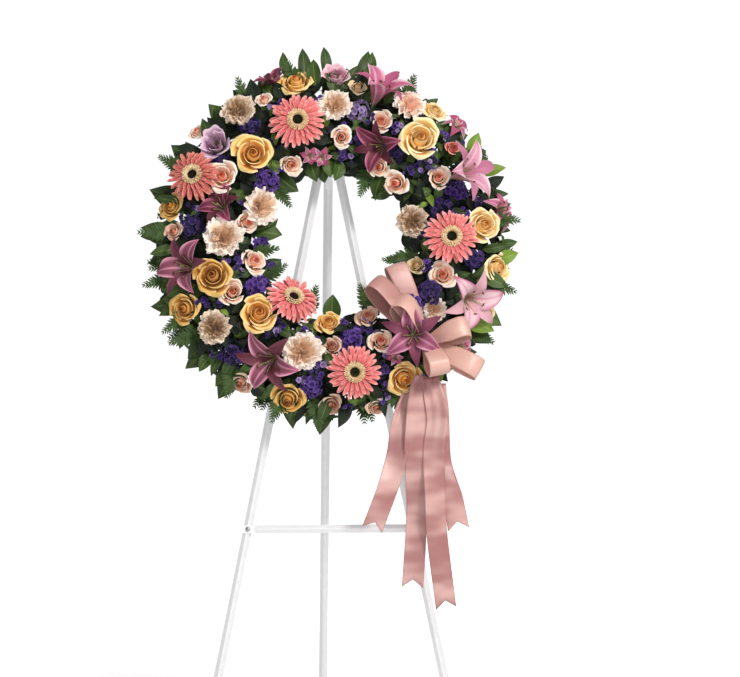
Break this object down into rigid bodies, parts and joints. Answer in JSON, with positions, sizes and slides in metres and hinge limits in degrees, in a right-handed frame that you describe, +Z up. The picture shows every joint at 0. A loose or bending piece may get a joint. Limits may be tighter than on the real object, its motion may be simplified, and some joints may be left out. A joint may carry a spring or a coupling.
{
  "type": "funeral wreath",
  "caption": "Round wreath of mixed fresh flowers with a satin bow and hanging tails, hung on a white folding tripod easel.",
  "frame": {"origin": "on the floor, under the middle of the whole object's width and depth", "axes": "+Z up, the flowers face -Y, +X to the viewer's right"},
  "size_m": [0.6844, 0.6496, 1.3249],
  "materials": {
    "easel_paint": "semi-gloss white",
    "zinc_hardware": "zinc plated",
    "tray_plastic": "matte green",
    "wet_foam": "matt crumbly foam",
    "gerbera_petals": "soft petals",
    "rose_petals": "soft petals",
    "lily_petals": "waxy petals",
    "carnation_petals": "soft ruffled petals",
    "lisianthus_petals": "soft petals",
    "spray_rose_petals": "soft petals",
    "statice_petals": "papery florets",
    "leaf_green": "satin leaves",
    "satin_ribbon": "satin",
    "pick_wood": "bare wood"
  },
  "bodies": {
    "stand": {"left_front_leg": "easel_paint", "right_front_leg": "easel_paint", "crossbar": "easel_paint", "crossbar_rivet_left": "zinc_hardware", "crossbar_rivet_right": "zinc_hardware", "top_bracket": "easel_paint", "pivot_bolt": "zinc_hardware", "pivot_nut": "zinc_hardware", "ring_tray": "tray_plastic", "foam_ring": "wet_foam", "gerbera_1": "gerbera_petals", "gerbera_2": "gerbera_petals", "gerbera_3": "gerbera_petals", "gerbera_4": "gerbera_petals", "gerbera_5": "gerbera_petals", "yellow_rose_1": "rose_petals", "yellow_rose_2": "rose_petals", "yellow_rose_3": "rose_petals", "yellow_rose_4": "rose_petals", "yellow_rose_5": "rose_petals", "yellow_rose_6": "rose_petals", "yellow_rose_7": "rose_petals", "yellow_rose_8": "rose_petals", "yellow_rose_9": "rose_petals", "yellow_rose_10": "rose_petals", "yellow_rose_11": "rose_petals", "lily_1": "lily_petals", "lily_2": "lily_petals", "lily_3": "lily_petals", "lily_4": "lily_petals", "lily_5": "lily_petals", "lily_6": "lily_petals", "lily_7": "lily_petals", "carnation_1": "carnation_petals", "carnation_2": "carnation_petals", "carnation_3": "carnation_petals", "carnation_4": "carnation_petals", "carnation_5": "carnation_petals", "carnation_6": "carnation_petals", "carnation_7": "carnation_petals", "lisianthus_1": "lisianthus_petals", "lisianthus_2": "lisianthus_petals", "spray_rose_spray_1": "spray_rose_petals", "spray_rose_spray_2": "spray_rose_petals", "spray_rose_spray_3": "spray_rose_petals", "spray_rose_spray_4": "spray_rose_petals", "spray_rose_spray_5": "spray_rose_petals", "statice_1": "statice_petals", "statice_2": "statice_petals", "salal_sprig_left": "leaf_green", "salal_sprig_bottom": "leaf_green", "salal_sprig_right": "leaf_green", "salal_sprig_top": "leaf_green", "bow_pick": "pick_wood", "bow_loops": "satin_ribbon", "ribbon_tail_1": "satin_ribbon", "ribbon_tail_2": "satin_ribbon", "ribbon_tail_3": "satin_ribbon", "ribbon_tail_4": "satin_ribbon"},
    "rear_leg": {"rear_leg": "easel_paint"}
  },
  "joints": [
    {"name": "rear_leg_fold", "type": "hinge", "parent": "stand", "child": "rear_leg", "pos_m": [0, -0.06472, 1.13177], "axis": [1, 0, 0], "range_deg": [-26, 0]}
  ]
}
